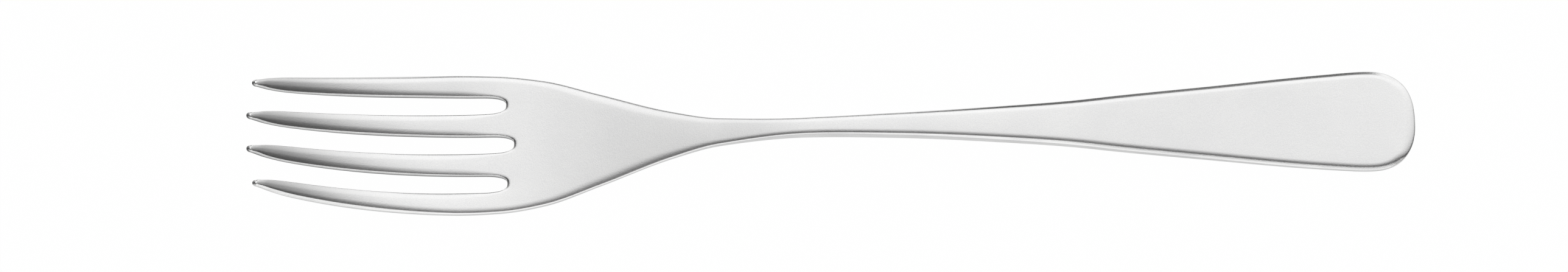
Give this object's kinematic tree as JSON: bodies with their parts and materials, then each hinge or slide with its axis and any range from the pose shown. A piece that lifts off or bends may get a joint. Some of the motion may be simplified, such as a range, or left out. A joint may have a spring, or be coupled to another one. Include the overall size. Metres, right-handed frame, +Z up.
{
  "type": "table fork",
  "caption": "Table fork of satin stainless steel, with curved tapering tines on a flat shouldered head, a slim deep neck and a handle that widens to a rounded end.",
  "frame": {"origin": "on the table, under the middle of the bounding box of the fork lying on its back", "axes": "+X along the fork towards the end of the handle, with the tines at -X; +Y across it; +Z up, the way the hollow of the tines faces"},
  "size_m": [0.2038, 0.0252, 0.0155],
  "materials": {
    "steel": "satin, fine grain, plain with no mark"
  },
  "bodies": {
    "root": {"tine_1": "steel", "tine_2": "steel", "tine_3": "steel", "tine_4": "steel", "root": "steel", "neck": "steel", "handle": "steel"}
  },
  "joints": []
}
